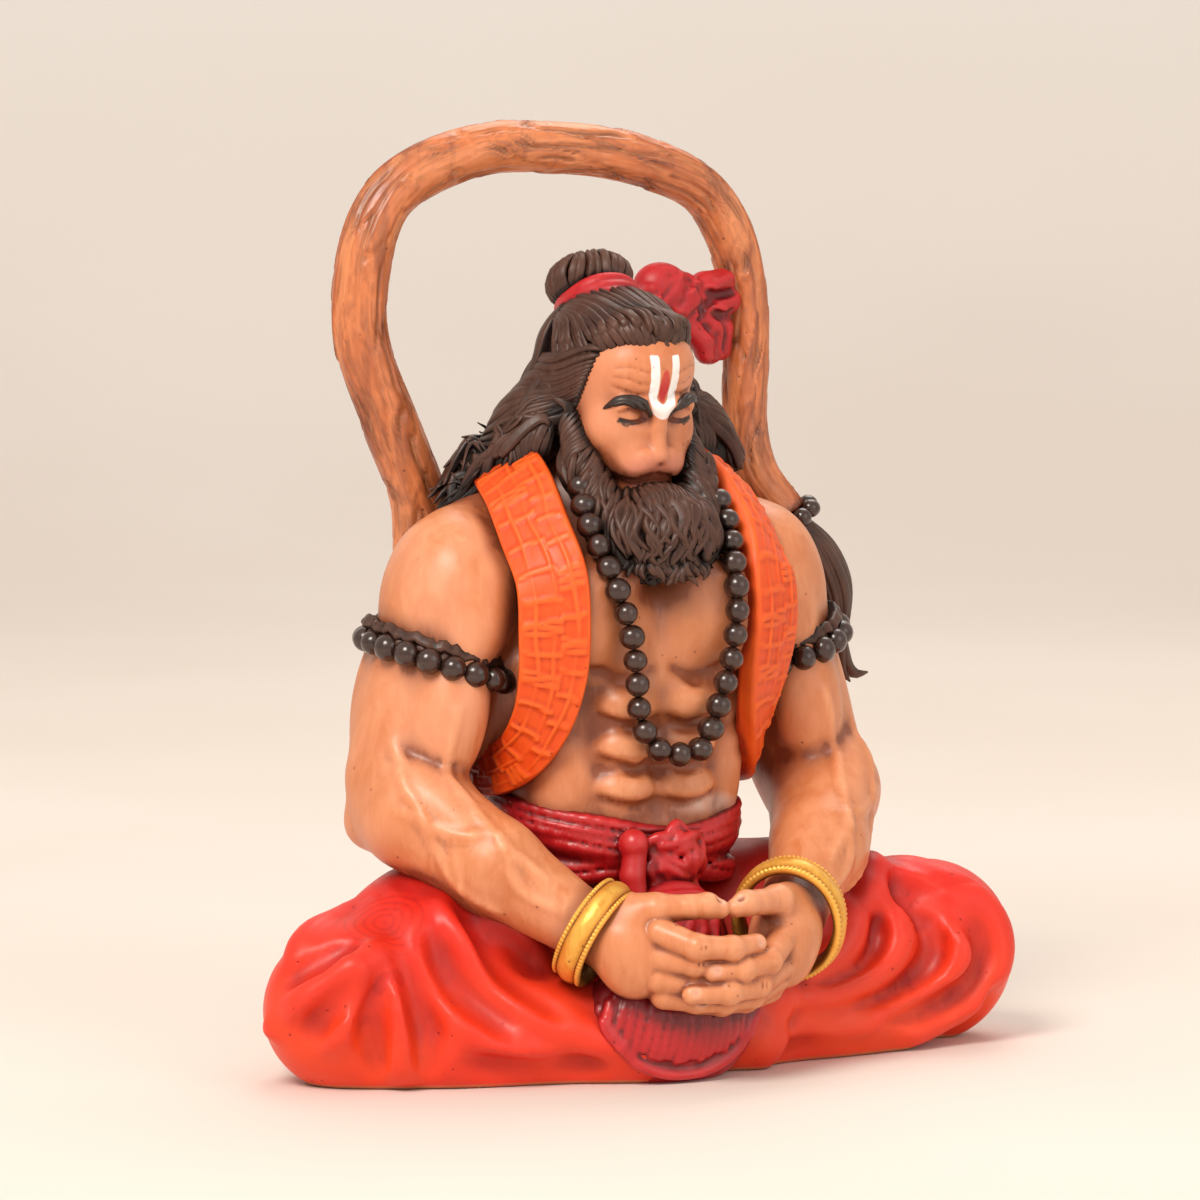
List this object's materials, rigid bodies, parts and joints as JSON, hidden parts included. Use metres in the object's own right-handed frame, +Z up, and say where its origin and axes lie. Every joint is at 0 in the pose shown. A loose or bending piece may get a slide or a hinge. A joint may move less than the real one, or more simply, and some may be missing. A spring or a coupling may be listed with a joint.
{
  "type": "deity figurine",
  "caption": "Seated, cross-legged monkey deity with joined hands, beard, bead necklace, shoulder cloth and a tail arching over its head; a painted statue on a flat underside.",
  "frame": {"origin": "on the floor plane of the flat underside, under the middle of the torso", "axes": "+Z up, -Y is the way the figure faces, +X is the figure's left"},
  "size_m": [0.1806, 0.1021, 0.1998],
  "materials": {
    "skin": "hand-painted resin, satin, brushed warm brown with pinkish lights",
    "hair": "hand-painted resin, dark brown with grey drybrushed ridges",
    "tail": "hand-painted resin, orange-brown with a dark wash in the grooves",
    "red_cloth": "hand-painted resin, satin red",
    "dark_red_cloth": "hand-painted resin, deep red",
    "orange_cloth": "hand-painted resin, orange with lighter ridges",
    "beads": "hand-painted resin, glossy brown-black",
    "gold": "hand-painted resin, gold paint"
  },
  "bodies": {
    "root": {"hanuman_statue": "skin"}
  },
  "joints": []
}
